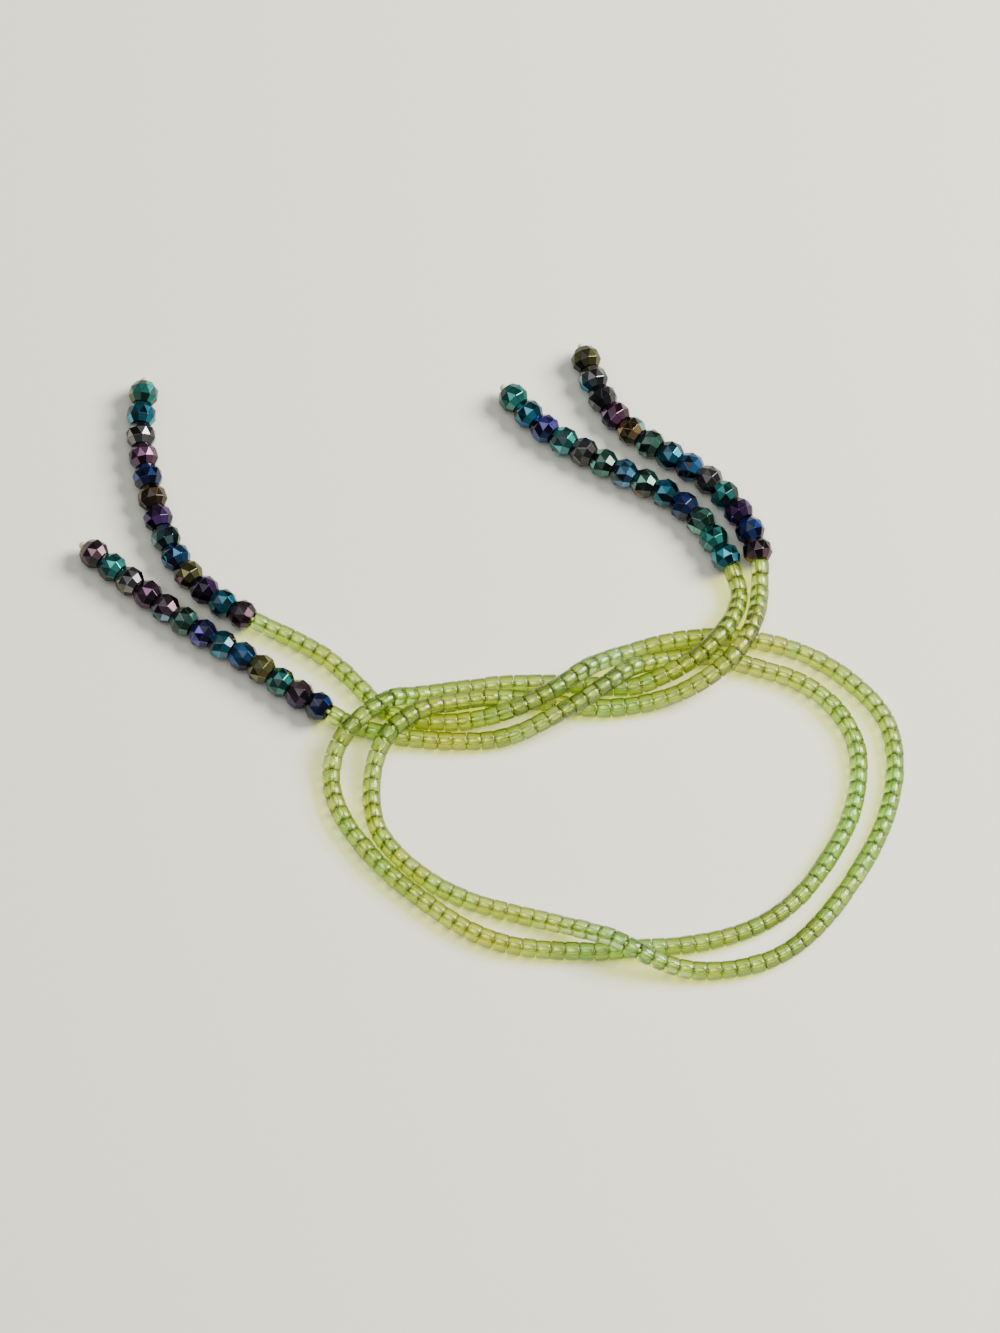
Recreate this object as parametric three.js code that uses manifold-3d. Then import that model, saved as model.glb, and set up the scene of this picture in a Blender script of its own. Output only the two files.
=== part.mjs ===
// A beaded bracelet of two threads, lying on a table as it was laid down.
// Each thread carries thirteen faceted rondelles, a long run of seed beads and
// thirteen more rondelles. The two threads lie together as one open loop for the
// wrist, and their ends wrap round each other along the far side of the loop, so
// that four tails of rondelles stand out from it. Millimetres, +Z up, and the
// table is the plane Z = 0.
import * as THREE from 'three';
import { ConvexGeometry } from 'three/addons/geometries/ConvexGeometry.js';
import { mergeVertices } from 'three/addons/utils/BufferGeometryUtils.js';
import Module from 'manifold-3d';

// Seed beads
const SEED_DIAMETER = 2.6;
const SEED_SIDES = 8;
const SEED_STEP = 3.9;              // length of one straight step of a string of seed beads

// Rondelles
const RONDELLES_PER_TAIL = 13;
const RONDELLE_DIAMETER = 4.0;
const RONDELLE_LENGTH = 3.25;
const RONDELLE_TABLE = 2.7;         // diameter of the flat ends
const GIRDLE_LENGTH = 1.3;          // length of the widest band
const RONDELLE_SIDES = 10;

// Thread and clearances
const THREAD_DIAMETER = 0.8;
const THREAD_SIDES = 6;
const KNOT_DIAMETER = 1.3;
const RONDELLE_GAP = 0.12;          // between rondelles on one thread
const STRAND_GAP = 0.25;            // between one string and the next
const SEED_TO_RONDELLE_GAP = 0.3;

// How the threads are eased apart
const LAY_STEP = 1.0;               // spacing of the points that are eased
const LAY_ROUNDS = 400;
const LAY_FREE_ROUNDS = 80;         // last rounds, with nothing pulling back
const PUSH = 0.35;
const STIFFNESS = 0.2;
const HOLD = 0.06;

// The route of each thread, from the tip of its left tail to the tip of its right
// one, chosen by hand. x and y are in millimetres, and layer is 0 on the table and
// 1 where the thread passes over another.
const ROUTES = {
  first: [
    // left tail
    [-50.4, 46.2, 0], [-51.0, 38.3, 0], [-49.9, 31.9, 0], [-48.2, 24.6, 0],
    [-45.6, 18.2, 0], [-41.9, 13.5, 0], [-36.1, 9.3, 0], [-31.0, 7.2, 0],
    [-27.2, 5.1, 0], [-23.5, 2.8, 0], [-20.5, 0.0, 0], [-17.9, -3.2, 0],
    // under the other end, along the wrap, over it and under it again
    [-13.4, -6.6, 0], [-7.6, -7.3, 0], [-4.7, -7.3, 0], [-1.9, -7.0, 0.2], [1.0, -6.3, 0.7],
    [3.9, -6.0, 1], [6.9, -4.6, 1], [11.2, -1.6, 1], [14.2, 1.1, 0.7], [18.3, 3.4, 0],
    [24.0, 4.6, 0], [29.5, 6.1, 0], [35.3, 6.2, 0],
    // round the right of the loop on its outside
    [44.9, 3.5, 0], [50.7, -0.5, 0], [56.0, -6.3, 0], [57.4, -14.0, 0],
    [55.3, -23.8, 0], [51.6, -30.9, 0], [46.7, -38.1, 0], [41.1, -43.4, 0],
    [35.9, -45.3, 0], [29.6, -46.0, 0], [24.6, -45.4, 0.3],
    // over the other thread, and round the left of the loop on its inside
    [18.3, -42.6, 1], [12.4, -39.9, 0.4], [4.3, -37.3, 0], [-1.3, -35.9, 0],
    [-7.1, -33.4, 0], [-12.7, -29.6, 0], [-16.3, -25.1, 0], [-17.4, -19.0, 0],
    [-16.9, -13.4, 0.3],
    // over the first end, along the wrap, under it and over it again
    [-15.0, -9.6, 1], [-11.8, -7.2, 0.9], [-7.6, -5.4, 0.6], [-4.7, -4.7, 0.5], [-1.9, -4.1, 0.5],
    [1.0, -3.9, 0.5], [3.9, -3.7, 0.2], [9.0, -4.3, 0], [15.3, -5.3, 0], [22.4, -4.2, 0],
    [27.6, -2.9, 0.5], [33.0, 0.3, 1], [36.6, 5.0, 1], [37.9, 10.2, 0.4],
    // right tail
    [38.2, 14.6, 0], [38.4, 18.8, 0], [35.4, 25.8, 0], [30.9, 31.1, 0],
    [25.1, 34.9, 0], [19.6, 38.8, 0], [15.6, 43.8, 0], [13.0, 51.7, 0],
  ],
  second: [
    // left tail
    [-58.5, 20.0, 0], [-52.4, 14.9, 0], [-47.1, 10.5, 0], [-41.9, 6.5, 0],
    [-35.9, 2.9, 0], [-30.1, -1.5, 0], [-24.6, -5.4, 0], [-19.4, -8.2, 0],
    // under the other end, along the wrap, over it and under it again
    [-13.5, -9.5, 0], [-7.6, -10.1, 0], [-3.3, -10.4, 0], [1.0, -10.0, 0], [3.9, -9.3, 0.2],
    [6.9, -8.0, 0.6], [10.6, -6.4, 1], [14.3, -4.0, 1], [17.9, -1.2, 1],
    [21.6, 1.9, 0.3], [26.5, 3.4, 0], [31.2, 3.4, 0], [35.8, 1.8, 0],
    // round the right of the loop on its inside
    [43.4, -0.5, 0], [48.7, -4.6, 0], [52.1, -11.2, 0], [51.9, -17.5, 0],
    [50.7, -22.7, 0], [47.6, -28.5, 0], [43.3, -34.7, 0], [38.4, -38.6, 0],
    [33.9, -40.5, 0], [28.9, -41.7, 0], [23.9, -42.3, 0],
    // under the other thread, and round the left of the loop on its outside
    [13.1, -42.8, 0], [6.7, -42.6, 0], [0.6, -41.5, 0], [-5.4, -38.5, 0],
    [-11.0, -33.9, 0], [-18.7, -26.2, 0], [-21.6, -22.1, 0], [-23.3, -16.0, 0],
    [-22.4, -11.2, 0.5],
    // over the first end, along the wrap, under it and over it again
    [-20.1, -8.7, 1], [-16.8, -5.9, 1], [-13.4, -4.1, 0.4], [-10.4, -3.0, 0.1], [-7.6, -2.5, 0],
    [-1.9, -1.9, 0], [3.9, -1.4, 0], [8.4, -1.1, 0], [14.2, -1.4, 0],
    [19.2, -1.9, 0], [24.6, -0.5, 0.6], [29.8, 2.0, 1], [33.2, 5.9, 1],
    [35.4, 10.4, 0.5],
    // right tail
    [35.8, 14.2, 0], [33.3, 18.3, 0], [30.5, 23.7, 0], [25.3, 28.5, 0],
    [19.1, 31.6, 0], [13.7, 34.9, 0], [7.4, 38.8, 0], [1.9, 45.2, 0],
  ],
};

const SEED_GLASS = new THREE.MeshStandardMaterial({
  color: 0xb9c78a, roughness: 0.22, metalness: 0.0,
});
const DARK_GLASS = new THREE.MeshStandardMaterial({
  color: 0x1d2b36, roughness: 0.14, metalness: 0.55,
});

const UP = new THREE.Vector3(0, 0, 1);
const seedRadius = SEED_DIAMETER / 2;
const seedRest = seedRadius * Math.cos(Math.PI / SEED_SIDES);
const rondelleRadius = RONDELLE_DIAMETER / 2;
const rondellePitch = RONDELLE_LENGTH + RONDELLE_GAP;
const tailLength = RONDELLES_PER_TAIL * rondellePitch;

// A curve whose cross-sections stay upright, so that a flat side faces the table.
class UprightCurve extends THREE.CatmullRomCurve3 {
  computeFrenetFrames(segments) {
    const frames = { tangents: [], normals: [], binormals: [] };
    for (let i = 0; i <= segments; i += 1) {
      const tangent = this.getTangentAt(i / segments);
      const normal = new THREE.Vector3().crossVectors(UP, tangent).normalize();
      frames.tangents.push(tangent);
      frames.normals.push(normal);
      frames.binormals.push(new THREE.Vector3().crossVectors(tangent, normal));
    }
    return frames;
  }
}

// Points along one thread at even steps, each with the radius of what it carries
// there and the height at which that rests on the table.
function routePoints(route) {
  const curve = new THREE.CatmullRomCurve3(route.map(([x, y, layer]) => new THREE.Vector3(x, y, layer)));
  curve.arcLengthDivisions = 2000;
  const length = curve.getLength();
  const count = Math.round(length / LAY_STEP);
  const layerHeight = SEED_DIAMETER + STRAND_GAP;
  return curve.getSpacedPoints(count).map((point, i) => {
    const along = (i / count) * length;
    const onTail = Math.min(along, length - along) < tailLength;
    const radius = onTail ? rondelleRadius : seedRadius;
    const rest = onTail ? rondelleRadius : seedRest;
    const place = new THREE.Vector3(point.x, point.y, rest + Math.max(point.z, 0) * layerHeight);
    return { place, home: place.clone(), radius, rest, along };
  });
}

// Pushes for every two points that are nearer than what they carry and its gap.
function pushesApart(points, nearestOnThread) {
  const pushes = points.map(() => new THREE.Vector3());
  const apart = new THREE.Vector3();
  for (let i = 0; i < points.length; i += 1) {
    for (let j = i + 1; j < points.length; j += 1) {
      const a = points[i];
      const b = points[j];
      const need = a.radius + b.radius + STRAND_GAP;
      if (Math.abs(a.place.x - b.place.x) > need || Math.abs(a.place.y - b.place.y) > need) continue;
      if (a.thread === b.thread && b.along - a.along < nearestOnThread) continue;
      apart.subVectors(b.place, a.place);
      const distance = apart.length();
      if (distance >= need) continue;
      apart.multiplyScalar((need - distance) * PUSH / distance);
      pushes[i].sub(apart);
      pushes[j].add(apart);
    }
  }
  return pushes;
}

// Eases both threads until they lie clear of each other, on the table or over
// one another, near their hand-chosen routes.
function layThreads(threads) {
  const points = threads.flat();
  threads.forEach((thread, index) => thread.forEach((point) => { point.thread = index; }));
  points.forEach((point, index) => { point.index = index; });
  const nearestOnThread = 3 * RONDELLE_DIAMETER;
  const middle = new THREE.Vector3();
  for (let round = 0; round < LAY_ROUNDS; round += 1) {
    const hold = round < LAY_ROUNDS - LAY_FREE_ROUNDS ? HOLD : 0;
    const stiffness = hold > 0 ? STIFFNESS : STIFFNESS / 4;
    const pushes = pushesApart(points, nearestOnThread);
    for (const thread of threads) {
      const before = thread.map((point) => point.place.clone());
      thread.forEach((point, i) => {
        const push = pushes[point.index];
        if (i > 0 && i < thread.length - 1) {
          middle.addVectors(before[i - 1], before[i + 1]).multiplyScalar(0.5);
          push.addScaledVector(middle.sub(before[i]), stiffness);
        }
        push.addScaledVector(point.home.clone().sub(before[i]), hold);
        point.place.add(push);
        point.place.z = Math.max(point.place.z, point.rest);
      });
    }
  }
}

// A flat-sided ring of corners, with a flat side at the bottom.
function ringShape(sides, diameter) {
  const corners = [];
  for (let i = 0; i < sides; i += 1) {
    const angle = ((i + 0.5) / sides) * 2 * Math.PI - Math.PI / 2;
    const radius = diameter / 2;
    corners.push(new THREE.Vector2(radius * Math.cos(angle), radius * Math.sin(angle)));
  }
  return new THREE.Shape(corners);
}

// A rod of the given section along the curve between two distances from its start.
function rodAlong(curve, from, to, steps, shape) {
  const length = curve.getLength();
  const places = [];
  for (let i = 0; i <= steps; i += 1) {
    places.push(curve.getPointAt(THREE.MathUtils.lerp(from / length, to / length, i / steps)));
  }
  const path = new UprightCurve(places);
  path.arcLengthDivisions = steps * 8;
  return new THREE.ExtrudeGeometry(shape, { steps, extrudePath: path, bevelEnabled: false });
}

// One faceted rondelle about the X axis: two flat ends, and a row of trapezoid
// facets on each side of a girdle of triangles.
function rondelleGeometry() {
  const rings = [
    [-RONDELLE_LENGTH / 2, RONDELLE_TABLE / 2, 0],
    [-GIRDLE_LENGTH / 2, rondelleRadius, 0],
    [GIRDLE_LENGTH / 2, rondelleRadius, 0.5],
    [RONDELLE_LENGTH / 2, RONDELLE_TABLE / 2, 0.5],
  ];
  const corners = [];
  for (const [x, radius, turn] of rings) {
    for (let i = 0; i < RONDELLE_SIDES; i += 1) {
      const angle = ((i + turn) / RONDELLE_SIDES) * 2 * Math.PI;
      corners.push(new THREE.Vector3(x, radius * Math.sin(angle), -radius * Math.cos(angle)));
    }
  }
  return new ConvexGeometry(corners);
}

const wasm = await Module();
wasm.setup();

// A closed geometry as a solid that can be joined to others.
function toSolid(geometry) {
  const plain = geometry.clone();
  plain.deleteAttribute('normal');
  plain.deleteAttribute('uv');
  const merged = mergeVertices(plain, 1e-4);
  return new wasm.Manifold(new wasm.Mesh({
    numProp: 3,
    vertProperties: new Float32Array(merged.attributes.position.array),
    triVerts: new Uint32Array(merged.index.array),
  }));
}

function toGeometry(solid) {
  const mesh = solid.getMesh();
  const geometry = new THREE.BufferGeometry();
  geometry.setAttribute('position', new THREE.BufferAttribute(mesh.vertProperties, 3));
  geometry.setIndex(new THREE.BufferAttribute(mesh.triVerts, 1));
  geometry.computeVertexNormals();
  return geometry;
}

// The rondelles of one tail and the thread through them, with a knot at the tip.
// Each rondelle lies on its rim, so its axis is level. 'sign' is 1 where the tail
// starts the thread and -1 where it ends it.
function tailGeometry(curve, sign) {
  const length = curve.getLength();
  const at = (distance) => (sign > 0 ? distance : length - distance) / length;
  const rondelle = rondelleGeometry();
  const solids = [];
  const threadPlaces = [];
  for (let i = 0; i < RONDELLES_PER_TAIL; i += 1) {
    const u = at(RONDELLE_LENGTH / 2 + i * rondellePitch);
    const centre = curve.getPointAt(u);
    const axis = curve.getTangentAt(u).setZ(0).normalize().multiplyScalar(sign);
    const side = new THREE.Vector3().crossVectors(UP, axis);
    const turn = new THREE.Matrix4().makeBasis(axis, side, UP).setPosition(centre);
    solids.push(toSolid(rondelle.clone().applyMatrix4(turn)));
    if (i === 0) {
      const knotPlace = centre.clone().addScaledVector(axis, -RONDELLE_LENGTH / 2 - KNOT_DIAMETER / 3);
      const knot = new THREE.SphereGeometry(KNOT_DIAMETER / 2, 8, 6);
      solids.push(toSolid(knot.translate(knotPlace.x, knotPlace.y, knotPlace.z)));
      threadPlaces.push(knotPlace);
    }
    threadPlaces.push(centre);
  }
  const thread = new UprightCurve(threadPlaces);
  const threadShape = ringShape(THREAD_SIDES, THREAD_DIAMETER);
  const steps = 2 * RONDELLES_PER_TAIL;
  solids.push(toSolid(rodAlong(thread, 0, thread.getLength(), steps, threadShape)));
  return toGeometry(solids.reduce((whole, solid) => whole.add(solid)));
}

function namedMesh(name, geometry, material) {
  const mesh = new THREE.Mesh(geometry, material);
  mesh.name = name;
  return mesh;
}

const threads = [routePoints(ROUTES.first), routePoints(ROUTES.second)];
layThreads(threads);

const bracelet = new THREE.Group();
threads.forEach((thread, index) => {
  const curve = new THREE.CatmullRomCurve3(thread.map((point) => point.place));
  curve.arcLengthDivisions = 8 * thread.length;
  const start = tailLength - RONDELLE_GAP + SEED_TO_RONDELLE_GAP;
  const end = curve.getLength() - start;
  const steps = Math.round((end - start) / SEED_STEP);
  const seeds = rodAlong(curve, start, end, steps, ringShape(SEED_SIDES, SEED_DIAMETER));
  const order = ['first', 'second'][index];
  bracelet.add(namedMesh(`${order}_seed_strand`, seeds, SEED_GLASS));
  bracelet.add(namedMesh(`${order}_left_tail`, tailGeometry(curve, 1), DARK_GLASS));
  bracelet.add(namedMesh(`${order}_right_tail`, tailGeometry(curve, -1), DARK_GLASS));
});

// The origin is at the middle of the box round the bracelet, on the table.
const box = new THREE.Box3().setFromObject(bracelet);
const middle = box.getCenter(new THREE.Vector3());
bracelet.position.set(-middle.x, -middle.y, -box.min.z);

export default bracelet;
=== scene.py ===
import math

import bmesh
import bpy
import numpy as np
from mathutils import Matrix, Vector


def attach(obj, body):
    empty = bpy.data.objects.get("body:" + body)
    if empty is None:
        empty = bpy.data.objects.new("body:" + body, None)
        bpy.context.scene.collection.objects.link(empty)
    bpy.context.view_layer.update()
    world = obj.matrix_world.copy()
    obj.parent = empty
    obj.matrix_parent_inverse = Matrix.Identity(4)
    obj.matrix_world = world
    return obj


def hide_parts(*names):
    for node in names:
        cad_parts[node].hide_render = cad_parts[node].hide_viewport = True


# A bracelet of two threads that lies on a table. Each thread carries faceted
# rondelles, a long run of green seed beads and more rondelles. Everything here is
# in metres, in the frame of the part's solids.
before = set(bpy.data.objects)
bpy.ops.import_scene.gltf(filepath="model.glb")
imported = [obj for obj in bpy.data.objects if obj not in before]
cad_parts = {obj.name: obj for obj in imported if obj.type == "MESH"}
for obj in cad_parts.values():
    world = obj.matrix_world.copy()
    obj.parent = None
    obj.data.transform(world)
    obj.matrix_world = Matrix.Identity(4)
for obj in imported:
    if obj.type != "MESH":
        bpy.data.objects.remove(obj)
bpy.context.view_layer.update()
chance = np.random.default_rng(11)

MM = 0.001
THREADS = ["first", "second"]

# Seed beads
SEED_DIAMETER = 2.66 * MM
SEED_LENGTH = 2.0 * MM
SEED_PITCH = 2.04 * MM
SEED_HOLE = 0.7 * MM
SEED_END_GAP = 0.1 * MM         # between the last seed bead and a rondelle
SEED_SIDES = 12
SEED_WOBBLE = 0.05              # how much one bead's sizes differ from the next
WOBBLE_RANGE = (-1.0, 0.4)      # most beads that differ are smaller, not larger
# The wall of a seed bead, as shares of its half length and of the way from its hole
# to its outside
SEED_WALL = [(-0.98, 0.0), (-1.0, 0.88), (-0.8, 1.0), (0.8, 1.0), (1.0, 0.88), (0.98, 0.0)]

# Rondelles
RONDELLE_DIAMETER = 4.0 * MM    # of the solid ones
RONDELLE_GIRTH = 1.06           # how much wider the ones here are, as a factor
RONDELLE_LENGTH = 3.25 * MM
RONDELLE_TABLE = 2.7 * MM       # diameter of the flat ends
RONDELLE_HOLE = 1.0 * MM
RONDELLE_SIDES = 10
RONDELLE_EDGE = 0.03 * MM       # how far a worn edge reaches into a facet
RONDELLE_TILT = math.radians(3)
GIRDLE_LENGTH = 1.3 * MM
FACET_FLATNESS = math.radians(1)    # faces that meet at less than this are one facet
SHARP_ANGLE = math.radians(8)       # facets that meet at more than this have a worn edge

# Thread
THREAD_DIAMETER = 0.62 * MM
THREAD_SIDES = 8
THREAD_STEP = 0.6 * MM
KNOT_DIAMETER = 1.3 * MM
KNOT_SEAT = KNOT_DIAMETER / 3   # from the last rondelle to the middle of its knot
CURVE_PARTS = 10                # parts of each stretch of a smooth route

# What the solid strings look like: a tube of eight corners, and rondelles that are
# known by the edges round and across their girdles
TUBE_CORNERS = 8
TUBE_RADIUS = 1.3 * MM
TUBE_SLACK = 1.05               # how far a flat end's corners may reach, as a factor
CAP_FLATNESS = math.radians(0.5)
GIRDLE_EDGES = (
    RONDELLE_DIAMETER * math.sin(math.pi / RONDELLE_SIDES),
    math.hypot(GIRDLE_LENGTH, RONDELLE_DIAMETER * math.sin(math.pi / RONDELLE_SIDES / 2)),
)
GIRDLE_LINKS = 4                # girdle edges that meet at a girdle corner
EDGE_SLACK = 0.003 * MM         # how far an edge's length may be off
WELD = 1e-7                     # corners that are nearer than this are joined

# The lustre of each rondelle from the tip of its tail to the seed beads, by letter
LUSTRES = {
    "first_left_tail": "TtBPNbDgSoDtM",
    "second_left_tail": "MTBPMGVtSoTMN",
    "second_right_tail": "TtVTBGsGtNGTC",
    "first_right_tail": "oBKPbGtSBTDNM",
}
LUSTRE_COLOURS = {
    "T": (0.020, 0.190, 0.150),     # teal green
    "t": (0.015, 0.130, 0.170),     # teal
    "C": (0.030, 0.250, 0.290),     # cyan teal
    "S": (0.025, 0.110, 0.230),     # steel blue
    "s": (0.040, 0.130, 0.190),     # grey blue
    "N": (0.012, 0.030, 0.120),     # navy
    "V": (0.060, 0.045, 0.220),     # violet
    "D": (0.060, 0.020, 0.090),     # dark purple
    "P": (0.130, 0.045, 0.090),     # purple brown
    "M": (0.120, 0.065, 0.075),     # mauve brown
    "B": (0.120, 0.110, 0.100),     # grey with bright glints
    "b": (0.160, 0.095, 0.035),     # bronze
    "o": (0.100, 0.090, 0.025),     # olive bronze
    "g": (0.060, 0.120, 0.120),     # teal grey
    "G": (0.050, 0.140, 0.095),     # green grey
    "K": (0.030, 0.030, 0.034),     # near black
}
FACET_GLOWS = [0.08, 0.2, 0.4, 0.7, 1.1, 1.9]
# The share of a second tint on a facet: where it starts, what facing that tint's side
# adds and what facing up takes away. Facets that face up keeping the main tint, and
# lower facets taking the second, is painted shading of the top and the underside.
SECOND_TINT = 0.35
SECOND_TINT_SIDE = 0.9
SECOND_TINT_PAINTED_TOP_CUT = 0.5

# The tints that seed beads are picked from, and patches where one tint gathers:
# x, y and reach in metres, and the tint
SEED_TINTS = [(0.66, 0.85, 0.24), (0.76, 0.83, 0.16), (0.57, 0.84, 0.29), (0.80, 0.90, 0.36)]
TINT_PATCHES = [
    (0.0173, 0.0005, 0.0045, (0.62, 0.95, 0.66)),
    (0.0515, -0.0240, 0.014, (0.48, 0.88, 0.38)),
    (0.0190, -0.0440, 0.008, (0.64, 0.95, 0.48)),
    (-0.0110, -0.0050, 0.008, (0.60, 0.94, 0.22)),
    (-0.0060, -0.0120, 0.006, (0.87, 0.84, 0.12)),
    (0.0270, -0.0015, 0.006, (0.80, 0.86, 0.12)),
    (0.0385, 0.0005, 0.005, (0.90, 0.86, 0.34)),
    (0.0000, -0.0445, 0.008, (0.90, 0.90, 0.20)),
]
PATCH_SHARE = 0.8               # of a patch's tint at its middle
DULLEST = 0.88                  # strength of the dullest seed bead's tint
DULL_TO_BRIGHT = 0.16           # what the brightest has more

# Finishes
STREAK_TINT = (0.90, 0.95, 0.70)    # of the streaks in seed glass
EDGE_TINT = (0.01, 0.035, 0.0)      # of seed glass that is seen edge on
EDGE_REACH = 0.77                   # how far that darkness comes in, up to 1
SHADOW_TINT = (0.79, 0.81, 0.13)    # of the light that has passed one side of a seed bead
CLOUD_TINT = (0.45, 0.55, 0.8)      # of the clouds in a rondelle's film
FILM_TINT = (0.35, 0.35, 0.40)      # of the light that the film throws back
FIBRE_TINTS = ((0.56, 0.58, 0.36), (0.76, 0.77, 0.52))

# Floor and light. A lamp has a name, a place, a size, a power and a colour.
FLOOR_SIZE = 3.0
FLOOR_COLOUR = (0.88, 0.865, 0.735)
SKY_COLOUR = (0.93, 0.96, 1.0)
SKY_STRENGTH = 0.18
LAMPS = [
    ("key", (0.64, 0.20, 0.58), 0.45, 20.0, (1.0, 0.98, 0.93)),
    ("fill", (-0.15, -0.10, 0.95), 0.9, 4.8, (0.97, 0.98, 1.0)),
]

# Camera
SENSOR = 36.0
VIEW_HEIGHT = 190.43 * MM       # height of the picture, measured where the bracelet lies
CAMERA_DISTANCE = 1.5
CAMERA_ELEVATION = 65.0
CAMERA_AIM = (1.57 * MM, -1.69 * MM, 2.0 * MM)
CAMERA_NEAR = 0.01
CAMERA_FAR = 20.0


# Shader maths

class Wire:
    """A number socket of a node tree that Python's operators can work on."""

    def __init__(self, tree, socket):
        self.tree = tree
        self.socket = socket

    def maths(self, operation, other):
        node = self.tree.nodes.new("ShaderNodeMath")
        node.operation = operation
        for number, value in enumerate((self, other)):
            put(self.tree, node.inputs[number], value)
        return Wire(self.tree, node.outputs[0])

    def __add__(self, other):
        return self.maths("ADD", other)

    __radd__ = __add__

    def __mul__(self, other):
        return self.maths("MULTIPLY", other)


def put(tree, socket, value):
    """Links a wire or sets a plain value on an input socket."""
    if isinstance(value, Wire):
        tree.links.new(value.socket, socket)
    else:
        socket.default_value = value


class Finish:
    """A material whose nodes are added by one method."""

    # Places of the factor, the two colours and the mixed colour among a mix's sockets
    MIX_INPUTS = (0, 6, 7)
    MIX_OUTPUT = 2

    def __init__(self, name):
        self.material = bpy.data.materials.new(name)
        self.material.use_nodes = True
        self.tree = self.material.node_tree
        self.shader = self.tree.nodes["Principled BSDF"]

    def node(self, kind, settings=None, output=0, **values):
        node = self.tree.nodes.new(kind)
        for key, setting in (settings or {}).items():
            setattr(node, key, setting)
        for key, value in values.items():
            put(self.tree, node.inputs[key.replace("_", " ")], value)
        return Wire(self.tree, node.outputs[output])

    def mix(self, factor, first, second, blend="MIX"):
        node = self.tree.nodes.new("ShaderNodeMix")
        node.data_type = "RGBA"
        node.blend_type = blend
        for number, value in zip(self.MIX_INPUTS, (factor, first, second)):
            if isinstance(value, tuple):
                value = (*value, 1.0)
            put(self.tree, node.inputs[number], value)
        return Wire(self.tree, node.outputs[self.MIX_OUTPUT])

    def surface(self, **values):
        for key, value in values.items():
            if isinstance(value, tuple):
                value = (*value, 1.0)
            put(self.tree, self.shader.inputs[key.replace("_", " ")], value)
        return self.material

    def let_light_through(self, tint):
        """Lets the lamps' light pass straight on, so that the shadow takes a tint."""
        shadow_ray = self.node("ShaderNodeLightPath", output="Is Shadow Ray")
        glass = Wire(self.tree, self.shader.outputs[0])
        clear = self.node("ShaderNodeBsdfTransparent", Color=(*tint, 1.0))
        either = self.tree.nodes.new("ShaderNodeMixShader")
        for number, value in enumerate((shadow_ray, glass, clear)):
            put(self.tree, either.inputs[number], value)
        ending = self.tree.nodes["Material Output"]
        put(self.tree, ending.inputs["Surface"], Wire(self.tree, either.outputs[0]))


def seed_glass():
    """Clear green glass, its tint set bead by bead, darker where it is seen edge on."""
    finish = Finish("seed_glass")
    place = finish.node("ShaderNodeTexCoord", output="Object")
    tint = finish.node("ShaderNodeAttribute", {"attribute_name": "tint"})
    streak = finish.node("ShaderNodeTexNoise", Vector=place, Scale=900.0, Detail=2.0)
    shade = finish.mix(streak * 0.5, tint, STREAK_TINT, "MULTIPLY")
    edge = finish.node("ShaderNodeLayerWeight", output="Facing", Blend=EDGE_REACH)
    shade = finish.mix(edge, shade, EDGE_TINT, "MULTIPLY")
    finish.let_light_through(SHADOW_TINT)
    return finish.surface(
        Base_Color=shade,
        Roughness=0.10 + streak * 0.12,
        Transmission_Weight=0.88,
        IOR=1.5,
    )


def rondelle_glass():
    """Dark glass under a metallic film: each facet has its own tint and strength."""
    finish = Finish("rondelle_glass")
    place = finish.node("ShaderNodeTexCoord", output="Object")
    lustre = finish.node("ShaderNodeAttribute", {"attribute_name": "lustre"})
    cloud = finish.node("ShaderNodeTexNoise", Vector=place, Scale=520.0, Detail=3.0)
    shade = finish.mix(cloud * 0.7, lustre, CLOUD_TINT, "MULTIPLY")
    return finish.surface(
        Base_Color=shade,
        Metallic=0.85,
        Roughness=0.12 + cloud * 0.14,
        Specular_Tint=FILM_TINT,
        Coat_Weight=0.6,
        Coat_Roughness=0.03,
    )


def thread_fibre():
    """Pale twisted thread."""
    finish = Finish("thread_fibre")
    place = finish.node("ShaderNodeTexCoord", output="Object")
    fibre = finish.node("ShaderNodeTexNoise", Vector=place, Scale=4200.0, Detail=2.0)
    shade = finish.mix(fibre, *FIBRE_TINTS)
    bump = finish.node("ShaderNodeBump", Strength=0.4, Distance=0.05 * MM, Height=fibre)
    return finish.surface(Base_Color=shade, Roughness=0.75, Normal=bump)


# Reading the solid strings

def merged_shell(node):
    """A node's solid mesh with its loose triangles joined."""
    shell = bmesh.new()
    shell.from_mesh(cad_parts[node].data)
    bmesh.ops.remove_doubles(shell, verts=shell.verts, dist=WELD)
    return shell


def cap_corners(shell):
    """The corners of one flat end of a solid tube, found as a face that holds them all."""
    flat = shell.copy()
    bmesh.ops.dissolve_limit(flat, angle_limit=CAP_FLATNESS, verts=flat.verts, edges=flat.edges)
    for face in flat.faces:
        middle = face.calc_center_median()
        near = all((v.co - middle).length < TUBE_RADIUS * TUBE_SLACK for v in face.verts)
        if len(face.verts) == TUBE_CORNERS and near:
            corners = [v.co.copy() for v in face.verts]
    flat.free()
    return corners


def next_layer(layer, seen):
    """The corners one edge further along than a layer of corners."""
    reached = []
    for vert in layer:
        for edge in vert.link_edges:
            other = edge.other_vert(vert)
            if other not in seen:
                seen.add(other)
                reached.append(other)
    return reached


def tube_route(node):
    """The middle line of a solid tube, ring by ring from one flat end to the other."""
    shell = merged_shell(node)
    layer = [min(shell.verts, key=lambda v: (v.co - place).length) for place in cap_corners(shell)]
    seen = set(layer)
    route = []
    while layer:
        route.append(np.mean([v.co for v in layer], axis=0))
        layer = next_layer(layer, seen)
    shell.free()
    return route


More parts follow.
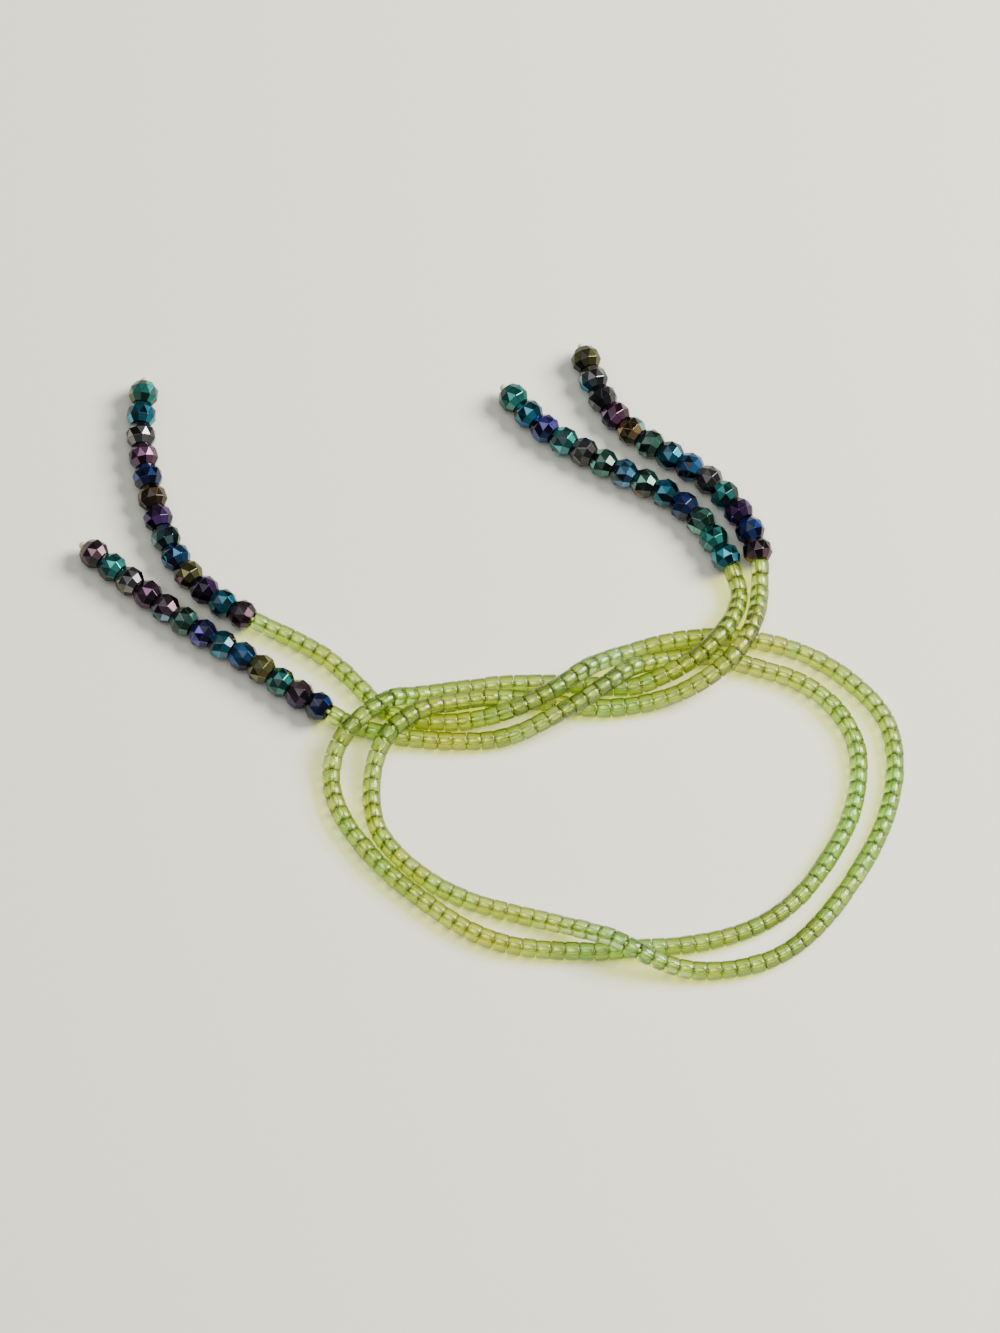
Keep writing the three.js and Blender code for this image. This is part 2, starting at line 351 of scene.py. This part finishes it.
def girdle_groups(shell):
    """The girdle corners of each solid rondelle, as arrays of places. Four girdle
    edges meet at each of them, two round the girdle and two across it."""
    links = {}
    for edge in shell.edges:
        if min(abs(edge.calc_length() - known) for known in GIRDLE_EDGES) < EDGE_SLACK:
            a, b = edge.verts
            links.setdefault(a, []).append(b)
            links.setdefault(b, []).append(a)
    loose = [vert for vert in links if len(links[vert]) >= GIRDLE_LINKS]
    groups = []
    while loose:
        group = [loose.pop()]
        for vert in group:
            fresh = [other for other in loose if other in links[vert]]
            loose = [other for other in loose if other not in fresh]
            group.extend(fresh)
        groups.append(np.array([v.co for v in group]))
    return groups


def rondelle_places(node, base):
    """The middle and axis of each rondelle, from the tip of a tail to its base. The
    wider ones of the scene are lifted where they would sink into the table."""
    shell = merged_shell(node)
    groups = girdle_groups(shell)
    shell.free()
    places = []
    here = np.array(base)
    while groups:
        groups.sort(key=lambda g: np.linalg.norm(g.mean(axis=0) - here))
        group = groups.pop(0)
        middle = group.mean(axis=0)
        axis = np.linalg.svd(group - middle)[2][-1]
        middle[2] = max(middle[2], RONDELLE_GIRTH * RONDELLE_DIAMETER / 2)
        if np.dot(axis, here - middle) < 0:
            axis = -axis
        places.append((Vector(middle), Vector(axis).normalized()))
        here = middle
    return places[::-1]


# Laying out what each thread carries

def seed_end(places):
    """Where the seed beads stop short of the rondelle nearest to them."""
    middle, axis = places[-1]
    return np.array(middle + axis * (RONDELLE_LENGTH / 2 + SEED_END_GAP))


def knot_place(places):
    """The middle of the knot that keeps the outermost rondelle of a tail on."""
    middle, axis = places[0]
    return middle - axis * (RONDELLE_LENGTH / 2 + KNOT_SEAT)


def smooth_route(points, step):
    """Even steps along a smooth curve through the points."""
    stops = np.array(points)
    stops = np.vstack([2 * stops[0] - stops[1], stops, 2 * stops[-1] - stops[-2]])
    t = np.linspace(0.0, 1.0, CURVE_PARTS, endpoint=False)[:, None]
    fine = []
    for a, b, c, d in zip(stops, stops[1:], stops[2:], stops[3:]):
        bend = 2 * a - 5 * b + 4 * c - d
        twist = 3 * b - a - 3 * c + d
        fine.append(b + 0.5 * ((c - a) * t + bend * t**2 + twist * t**3))
    fine = np.vstack([*fine, stops[-2]])
    along = np.append(0.0, np.cumsum(np.linalg.norm(np.diff(fine, axis=0), axis=1)))
    marks = np.linspace(0.0, along[-1], round(along[-1] / step) + 1)
    return np.column_stack([np.interp(marks, along, fine[:, k]) for k in range(3)])


def placed(middle, axis, roll, size, tilt=0.0):
    """The matrix that sets a bead, made about the X axis, at its place on the thread."""
    turn = Vector(axis).to_track_quat("X", "Z").to_matrix().to_4x4()
    lean = Matrix.Rotation(tilt, 4, "Y") @ Matrix.Rotation(roll, 4, "X")
    return Matrix.Translation(middle) @ turn @ lean @ Matrix.Diagonal((*size, 1.0))


def seed_places(route):
    """A matrix for each seed bead along a route, each a little unlike the next."""
    marks = smooth_route(route, SEED_PITCH / 2)
    marks[:, 2] = np.maximum(marks[:, 2], SEED_DIAMETER / 2)
    matrices = []
    for i in range(1, len(marks) - 1, 2):
        axis = marks[i + 1] - marks[i - 1]
        girth = 1.0 + SEED_WOBBLE * chance.uniform(*WOBBLE_RANGE)
        size = (1.0 + SEED_WOBBLE * chance.uniform(*WOBBLE_RANGE), girth, girth)
        roll, tilt = chance.uniform(-1.0, 1.0, 2) * (math.pi, SEED_WOBBLE)
        matrices.append(placed(Vector(marks[i]), axis, roll, size, tilt))
    return matrices


def seed_tint(place):
    """The tint of the seed bead at a place."""
    pick, blend, light = chance.random(3)
    colours = np.array(SEED_TINTS)
    first = colours[int(pick * len(colours))]
    colour = first * blend + colours.mean(axis=0) * (1.0 - blend)
    for x, y, reach, patch in TINT_PATCHES:
        away = math.hypot(place.x - x, place.y - y) / reach
        share = PATCH_SHARE * math.exp(-away * away)
        colour = colour * (1.0 - share) + np.array(patch) * share
    return colour * (DULLEST + DULL_TO_BRIGHT * light)


# Shapes of the beads

def add_ring(shape, diameter, sides, place):
    """Adds a ring of corners about the X axis of a matrix."""
    matrix = place @ Matrix.Rotation(math.pi / 2, 4, "Y")
    ring = bmesh.ops.create_circle(shape, segments=sides, radius=diameter / 2, matrix=matrix)
    return ring["verts"]


def bridge_rings(shape, rings):
    """Joins each ring of corners to the next with a band of faces."""
    for ring, following in zip(rings, rings[1:]):
        loops = [e for v in ring + following for e in v.link_edges if len(e.link_faces) < 2]
        bmesh.ops.bridge_loops(shape, edges=list(dict.fromkeys(loops)))


def seed_shape():
    """One drilled seed bead about the X axis, its wall closed from ring to ring."""
    shape = bmesh.new()
    rings = []
    for along, out in SEED_WALL:
        diameter = SEED_HOLE + out * (SEED_DIAMETER - SEED_HOLE)
        place = Matrix.Translation((along * SEED_LENGTH / 2, 0, 0))
        rings.append(add_ring(shape, diameter, SEED_SIDES, place))
    bridge_rings(shape, [*rings, rings[0]])
    bmesh.ops.recalc_face_normals(shape, faces=shape.faces)
    shape.verts.index_update()
    return shape


def rondelle_ring(shape, x, diameter, turn):
    """Adds a ring of a rondelle at a distance along its axis, turned by a share of a side."""
    spin = Matrix.Rotation(turn * 2 * math.pi / RONDELLE_SIDES, 4, "X")
    add_ring(shape, diameter, RONDELLE_SIDES, Matrix.Translation((x, 0, 0)) @ spin)


def drill(shape):
    """Bores a rondelle through both of its flat ends."""
    ends = [f for f in shape.faces if len(f.verts) == RONDELLE_SIDES]
    bmesh.ops.inset_individual(shape, faces=ends, thickness=(RONDELLE_TABLE - RONDELLE_HOLE) / 2)
    rims = [edge for face in ends for edge in face.edges]
    bmesh.ops.delete(shape, geom=ends, context="FACES_ONLY")
    bmesh.ops.bridge_loops(shape, edges=rims)


def rondelle_shape():
    """One drilled rondelle about the X axis, its facets parted by fine worn edges."""
    shape = bmesh.new()
    rondelle_ring(shape, -RONDELLE_LENGTH / 2, RONDELLE_TABLE, 0)
    rondelle_ring(shape, -GIRDLE_LENGTH / 2, RONDELLE_DIAMETER, 0)
    rondelle_ring(shape, GIRDLE_LENGTH / 2, RONDELLE_DIAMETER, 0.5)
    rondelle_ring(shape, RONDELLE_LENGTH / 2, RONDELLE_TABLE, 0.5)
    bmesh.ops.convex_hull(shape, input=shape.verts)
    bmesh.ops.dissolve_limit(shape, angle_limit=FACET_FLATNESS, verts=shape.verts,
                             edges=shape.edges)
    drill(shape)
    sharp = [e for e in shape.edges if e.calc_face_angle(0.0) > SHARP_ANGLE]
    bmesh.ops.bevel(shape, geom=sharp, offset=RONDELLE_EDGE, offset_type="OFFSET", segments=1,
                    profile=0.5, affect="EDGES", material=-1)
    bmesh.ops.recalc_face_normals(shape, faces=shape.faces)
    shape.verts.index_update()
    return shape


def facet_colours(shape, matrix, letter):
    """A colour for each facet of a rondelle: its lustre shifts towards one side and
    from facet to facet. That side always leans down, and facets that face up keep the
    main tint: painted shading of the top and the underside."""
    main = np.array(LUSTRE_COLOURS[letter])
    other = np.array(LUSTRE_COLOURS[chance.choice(list(LUSTRE_COLOURS))])
    east, north, up = Vector(chance.normal(size=3)).normalized()
    # painted shading: the side leans down, so facets below take the second tint and facets on top
    # keep the main one
    side = Vector((east, north, -abs(up)))
    colours = []
    for face in shape.faces:
        normal = matrix.to_3x3() @ face.normal
        # painted shading: facing up takes away the second tint, facing down adds it
        share = SECOND_TINT + SECOND_TINT_SIDE * normal.dot(side) - SECOND_TINT_PAINTED_TOP_CUT * normal.z
        share = min(max(share, 0.0), 1.0)
        glow = chance.choice(FACET_GLOWS)
        colours.append((main * (1.0 - share) + other * share) * glow)
    return colours


# Making the pieces

def in_scene(name, data):
    """An object in the scene that shows a mesh, a lamp or a camera."""
    thing = bpy.data.objects.new(name, data)
    bpy.context.scene.collection.objects.link(thing)
    return thing


def new_piece(name, mesh):
    """A piece of the bracelet, which lies still with the rest of it."""
    piece = in_scene(name, mesh)
    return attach(piece, "root")


def mesh_from(name, shape):
    """A mesh of a finished shape, which is then let go."""
    mesh = bpy.data.meshes.new(name)
    shape.to_mesh(mesh)
    shape.free()
    return mesh


def joined(name, shape, matrices, colours, attribute):
    """One piece of many copies of a shape, with a colour for each copy's faces."""
    corners = np.array([(*v.co, 1.0) for v in shape.verts])
    faces = [[v.index for v in f.verts] for f in shape.faces]
    places = np.vstack([(corners @ np.array(m).T)[:, :3] for m in matrices])
    every = [[i + k * len(corners) for i in f] for k in range(len(matrices)) for f in faces]
    mesh = bpy.data.meshes.new(name)
    mesh.from_pydata(places.tolist(), [], every)
    layer = mesh.color_attributes.new(attribute, "FLOAT_COLOR", "CORNER")
    sides = np.tile([len(f) for f in faces], len(matrices))
    shades = np.repeat(np.array(colours).reshape(-1, 3), sides, axis=0)
    layer.data.foreach_set("color", np.column_stack([shades, np.ones(len(shades))]).ravel())
    return new_piece(name, mesh)


def seed_string(order, route, glass):
    """The seed beads of one thread, from the rondelle before them to the one after."""
    shape = seed_shape()
    matrices = seed_places(route)
    colours = [[seed_tint(m.translation)] * len(shape.faces) for m in matrices]
    piece = joined(f"{order}_seed_beads", shape, matrices, colours, "tint")
    piece.data.shade_smooth()
    piece.data.materials.append(glass)
    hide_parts(f"{order}_seed_strand")
    shape.free()


def rondelle_string(node, places, glass):
    """The rondelles of one tail, each turned and tinted for itself."""
    shape = rondelle_shape()
    matrices = []
    colours = []
    for (middle, axis), letter in zip(places, LUSTRES[node]):
        roll, tilt = chance.uniform(-1.0, 1.0, 2) * (math.pi, RONDELLE_TILT)
        matrix = placed(middle, axis, roll, (1.0, RONDELLE_GIRTH, RONDELLE_GIRTH), tilt)
        matrices.append(matrix)
        colours.append(facet_colours(shape, matrix, letter))
    piece = joined(f"{node}_rondelles", shape, matrices, colours, "lustre")
    piece.data.materials.append(glass)
    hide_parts(node)
    shape.free()


def sweep_thread(shape, marks):
    """Adds the tube of a thread along its marks."""
    rings = []
    for before, mark, after in zip([marks[0], *marks], marks, [*marks[1:], marks[-1]]):
        place = placed(Vector(mark), after - before, 0.0, (1, 1, 1))
        rings.append(add_ring(shape, THREAD_DIAMETER, THREAD_SIDES, place))
    bridge_rings(shape, rings)


def tie_knot(shape, middle):
    """Adds the knot at one end of a thread."""
    knot = Matrix.Translation(middle)
    bmesh.ops.create_icosphere(shape, subdivisions=2, radius=KNOT_DIAMETER / 2, matrix=knot)


def thread_piece(order, left, route, right, fibre):
    """One thread, swept through its beads from knot to knot."""
    ends = [knot_place(left), knot_place(right)]
    beads = [*[m for m, _ in left], *route[1:-1], *[m for m, _ in right[::-1]]]
    marks = smooth_route([ends[0], *beads, ends[1]], THREAD_STEP)
    marks[:, 2] = np.maximum(marks[:, 2], SEED_DIAMETER / 2)
    shape = bmesh.new()
    sweep_thread(shape, marks)
    for end in ends:
        tie_knot(shape, end)
    bmesh.ops.recalc_face_normals(shape, faces=shape.faces)
    mesh = mesh_from(f"{order}_thread", shape)
    mesh.shade_smooth()
    mesh.materials.append(fibre)
    new_piece(f"{order}_thread", mesh)


# Floor, light and camera

def floor():
    """A plain pale floor."""
    shape = bmesh.new()
    bmesh.ops.create_grid(shape, x_segments=1, y_segments=1, size=FLOOR_SIZE / 2)
    mesh = mesh_from("floor", shape)
    finish = Finish("floor_paint")
    mesh.materials.append(finish.surface(Base_Color=FLOOR_COLOUR, Roughness=0.9))
    piece = in_scene("floor", mesh)


def soft_light(name, place, size, power, colour):
    """A square lamp that faces the bracelet."""
    light = bpy.data.lights.new(name, "AREA")
    light.size = size
    light.energy = power
    light.color = colour
    lamp = in_scene(name, light)
    lamp.location = place
    lamp.rotation_euler = (-Vector(place)).to_track_quat("-Z", "Y").to_euler()


def sky():
    """A faint light from all round."""
    world = bpy.data.worlds.new("sky")
    world.use_nodes = True
    background = world.node_tree.nodes["Background"]
    background.inputs["Color"].default_value = (*SKY_COLOUR, 1.0)
    background.inputs["Strength"].default_value = SKY_STRENGTH
    bpy.context.scene.world = world


def camera():
    """The camera looks down at the photograph's angle."""
    lens = bpy.data.cameras.new("camera")
    lens.sensor_width = SENSOR
    lens.lens = SENSOR * CAMERA_DISTANCE / VIEW_HEIGHT
    lens.clip_start = CAMERA_NEAR
    lens.clip_end = CAMERA_FAR
    eye = in_scene("camera", lens)
    tilt = math.radians(CAMERA_ELEVATION)
    away = Vector((0, -math.cos(tilt), math.sin(tilt))) * CAMERA_DISTANCE
    eye.location = Vector(CAMERA_AIM) + away
    eye.rotation_euler = (-away).to_track_quat("-Z", "Y").to_euler()
    bpy.context.scene.camera = eye


def main():
    camera()
    floor()
    sky()
    for lamp in LAMPS:
        soft_light(*lamp)
    seeds = seed_glass()
    facets = rondelle_glass()
    fibre = thread_fibre()
    for order in THREADS:
        route = tube_route(f"{order}_seed_strand")
        if route[0][0] > route[-1][0]:
            route.reverse()
        left = rondelle_places(f"{order}_left_tail", route[0])
        right = rondelle_places(f"{order}_right_tail", route[-1])
        route[0], route[-1] = seed_end(left), seed_end(right)
        seed_string(order, route, seeds)
        rondelle_string(f"{order}_left_tail", left, facets)
        rondelle_string(f"{order}_right_tail", right, facets)
        thread_piece(order, left, route, right, fibre)


main()
